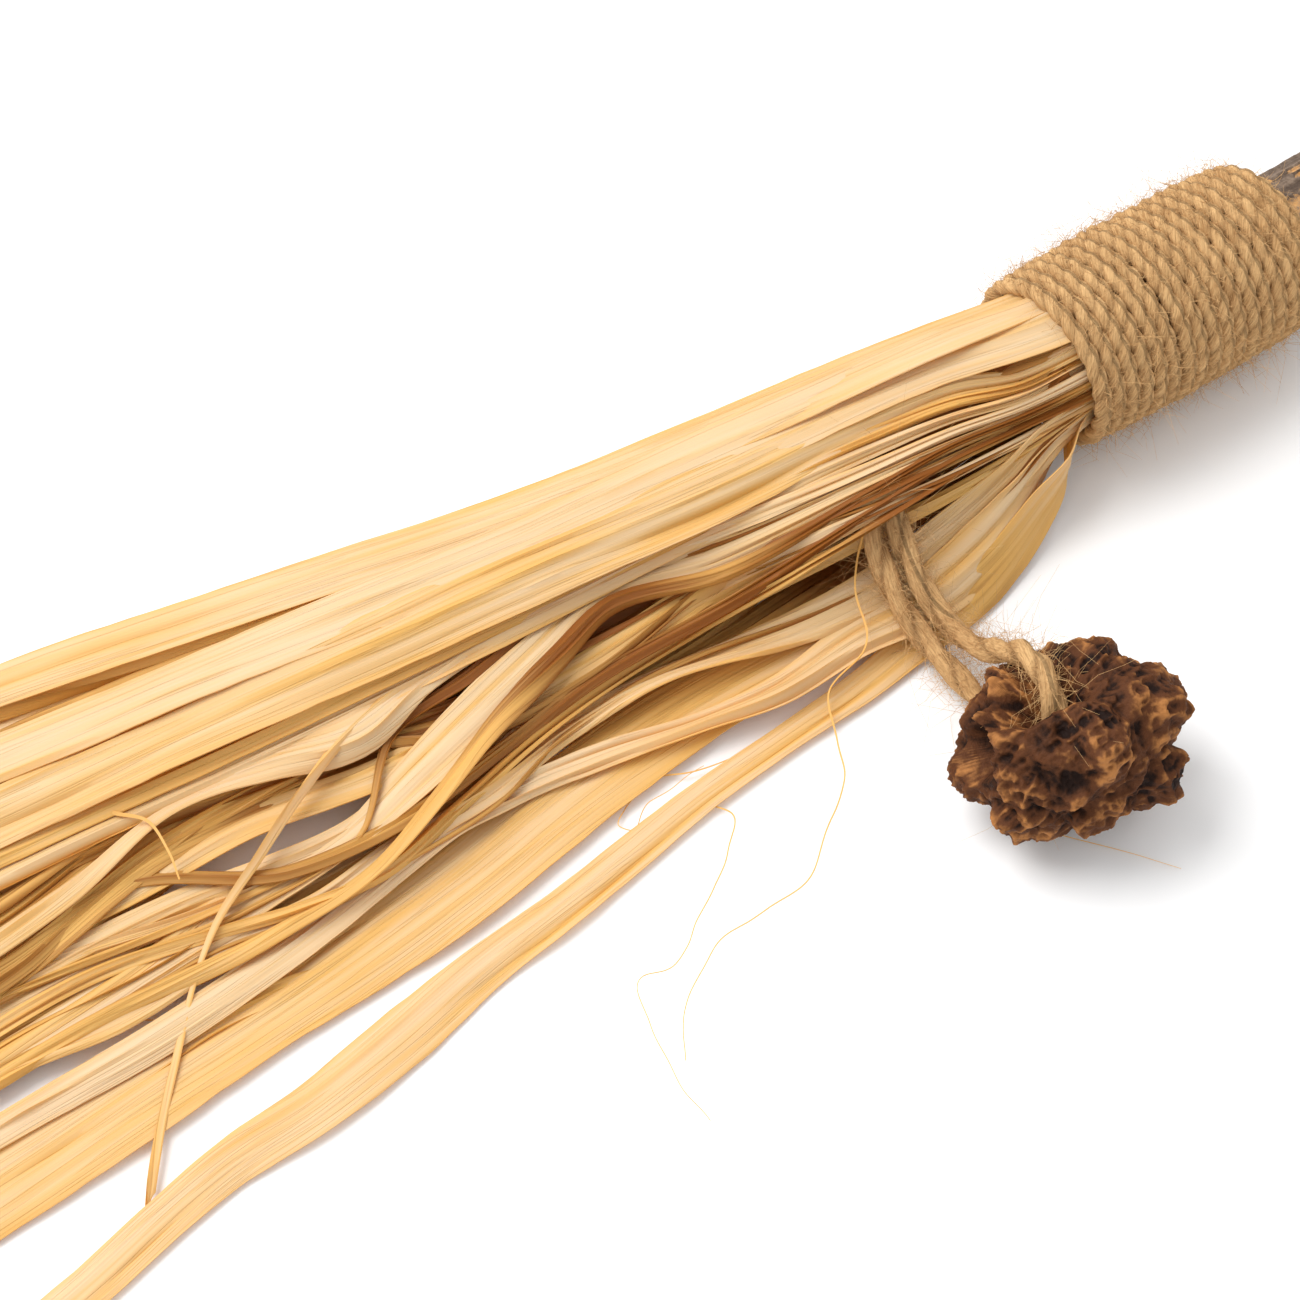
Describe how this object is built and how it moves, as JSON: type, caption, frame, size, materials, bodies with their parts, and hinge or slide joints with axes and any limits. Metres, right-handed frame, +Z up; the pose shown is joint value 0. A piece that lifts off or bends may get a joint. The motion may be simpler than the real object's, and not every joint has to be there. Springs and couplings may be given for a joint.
{
  "type": "silver vine stick cat toy with raffia tassel",
  "caption": "Bark-covered vine stick bound with jute twine to a long tassel of flat raffia strips, with a wrinkled dried fruit on a doubled jute cord.",
  "frame": {"origin": "on the surface that the toy lies on, under the middle of its outline without the cord", "axes": "+X along the toy, from the tassel to the stick's cut end; +Z up; the fruit lies on the -Y side"},
  "size_m": [0.2756, 0.0822, 0.0198],
  "materials": {
    "bark": "rough dark bark, partly peeled to orange-tan wood",
    "jute": "fuzzy two-ply twine",
    "raffia": "satin, lengthwise fibres, slightly translucent",
    "dried_fruit": "dry, deeply wrinkled"
  },
  "bodies": {
    "root": {"stick": "bark", "twine_binding": "jute", "raffia_table_1": "raffia", "raffia_table_2": "raffia", "raffia_table_3": "raffia", "raffia_table_4": "raffia", "raffia_table_5": "raffia", "raffia_table_6": "raffia", "raffia_table_7": "raffia", "raffia_low_middle_1": "raffia", "raffia_low_middle_2": "raffia", "raffia_low_middle_3": "raffia", "raffia_low_middle_4": "raffia", "raffia_low_middle_5": "raffia", "raffia_low_middle_6": "raffia", "raffia_low_inner_1": "raffia", "raffia_low_inner_2": "raffia", "raffia_low_inner_3": "raffia", "raffia_low_inner_4": "raffia", "raffia_low_inner_5": "raffia", "raffia_low_inner_6": "raffia", "raffia_high_inner_1": "raffia", "raffia_high_inner_2": "raffia", "raffia_high_inner_3": "raffia", "raffia_high_inner_4": "raffia", "raffia_high_inner_5": "raffia", "raffia_high_middle_1": "raffia", "raffia_high_middle_2": "raffia", "raffia_high_middle_3": "raffia", "raffia_high_middle_4": "raffia", "raffia_high_middle_5": "raffia", "raffia_high_middle_6": "raffia", "raffia_top_1": "raffia", "raffia_top_2": "raffia", "raffia_top_3": "raffia", "raffia_top_4": "raffia", "raffia_top_5": "raffia", "fruit": "dried_fruit", "fruit_cord": "jute"}
  },
  "joints": []
}
